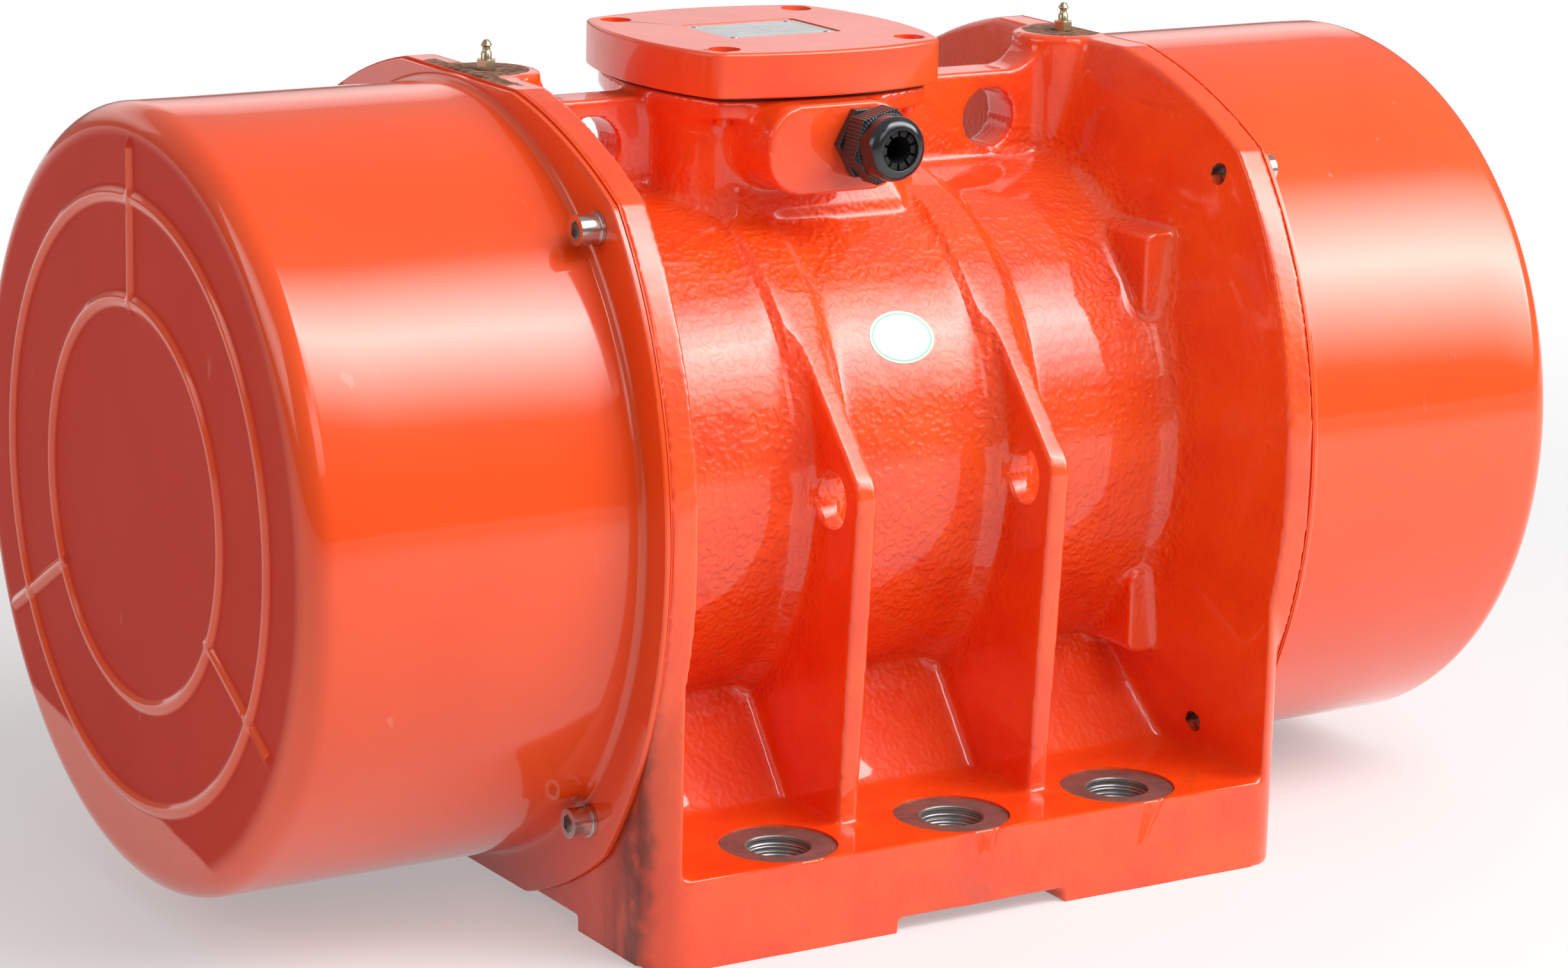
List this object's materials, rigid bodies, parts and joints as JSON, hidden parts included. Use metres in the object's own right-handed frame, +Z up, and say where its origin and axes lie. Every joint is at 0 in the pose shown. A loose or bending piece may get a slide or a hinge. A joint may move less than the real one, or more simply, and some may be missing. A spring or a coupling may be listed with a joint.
{
  "type": "vibration motor",
  "caption": "Foot-mounted unbalance vibration motor: cast housing with gusset ribs, drum end covers, top terminal box with cable gland and adjustable eccentric weights.",
  "frame": {"origin": "on the surface that the feet stand on, below the middle of the shaft", "axes": "+X along the shaft towards the right-hand cover, -Y to the cable gland side, +Z up"},
  "size_m": [0.9, 0.524, 0.517],
  "materials": {
    "painted_casting": "glossy orange-red paint over grey iron with a cast texture",
    "painted_lid": "smooth glossy orange-red paint",
    "painted_cover": "smooth glossy orange-red paint over drawn sheet steel",
    "steel": "bright machined steel",
    "stainless": "stainless fastener",
    "dark_steel": "black oxide steel",
    "laminations": "electrical sheet",
    "copper": "varnished copper winding",
    "brass": "brassy zinc plating",
    "cage_brass": "machined brass",
    "aluminium": "satin aluminium",
    "cast_iron": "machined grey iron",
    "gasket": "black gasket sheet",
    "gland_nylon": "black polyamide",
    "gland_rubber": "black rubber",
    "board_resin": "brown moulded resin",
    "sticker": "white film with a pale green rim"
  },
  "bodies": {
    "stator": {"bearing_cap_left": "cast_iron", "bearing_cap_right": "cast_iron", "bearing_cap_screws": "dark_steel", "bearing_housing_bolts": "dark_steel", "bearing_housing_left": "cast_iron", "bearing_housing_right": "cast_iron", "bearing_outer_ring_left": "steel", "bearing_outer_ring_right": "steel", "cover_gasket_left": "gasket", "cover_gasket_right": "gasket", "cover_screws_left": "stainless", "cover_screws_right": "stainless", "cover_washers_left": "stainless", "cover_washers_right": "stainless", "earth_screw": "brass", "end_cover_left": "painted_cover", "end_cover_right": "painted_cover", "gland_body": "gland_nylon", "gland_dome_nut": "gland_nylon", "gland_seal": "gland_rubber", "grease_nipple_left": "brass", "grease_nipple_right": "brass", "housing": "painted_casting", "lid_gasket": "gasket", "lid_screws": "dark_steel", "nameplate": "aluminium", "nameplate_rivets": "aluminium", "oval_label": "sticker", "stator_core": "laminations", "stator_windings": "copper", "terminal_board": "board_resin", "terminal_lid": "painted_lid", "terminal_studs": "brass"},
    "rotor": {"shaft": "steel", "rotor_core": "laminations", "rotor_end_rings": "aluminium", "weight_keys": "steel", "shaft_nuts": "steel", "shaft_washers": "steel", "fixed_weight_bolts": "dark_steel", "fixed_weight_left": "steel", "fixed_weight_right": "steel", "bearing_inner_ring_left": "steel", "bearing_inner_ring_right": "steel", "labyrinth_ring_left": "steel", "labyrinth_ring_right": "steel"},
    "adjustable_weight_left": {"adjustable_weight_left": "steel", "adjustable_weight_bolt_left": "dark_steel"},
    "roller_set_left": {"bearing_rollers_left": "steel", "bearing_cage_left": "cage_brass"},
    "adjustable_weight_right": {"adjustable_weight_right": "steel", "adjustable_weight_bolt_right": "dark_steel"},
    "roller_set_right": {"bearing_rollers_right": "steel", "bearing_cage_right": "cage_brass"}
  },
  "joints": [
    {"name": "rotor_spin", "type": "hinge", "parent": "stator", "child": "rotor", "pos_m": [0, 0, 0.255], "axis": [1, 0, 0], "continuous": true},
    {"name": "adjustable_weight_turn_left", "type": "hinge", "parent": "rotor", "child": "adjustable_weight_left", "pos_m": [-0.3515, 0, 0.255], "axis": [1, 0, 0], "range_deg": [0, 180]},
    {"name": "adjustable_weight_turn_right", "type": "hinge", "parent": "rotor", "child": "adjustable_weight_right", "pos_m": [0.3515, 0, 0.255], "axis": [1, 0, 0], "range_deg": [0, 180]},
    {"name": "roller_set_spin_left", "type": "hinge", "parent": "stator", "child": "roller_set_left", "pos_m": [-0.2065, 0, 0.255], "axis": [1, 0, 0], "continuous": true},
    {"name": "roller_set_spin_right", "type": "hinge", "parent": "stator", "child": "roller_set_right", "pos_m": [0.2065, 0, 0.255], "axis": [1, 0, 0], "continuous": true}
  ],
  "couplings": [
    {"joint": "roller_set_spin_left", "follows": "rotor_spin", "ratio": 0.4},
    {"joint": "roller_set_spin_right", "follows": "rotor_spin", "ratio": 0.4}
  ]
}
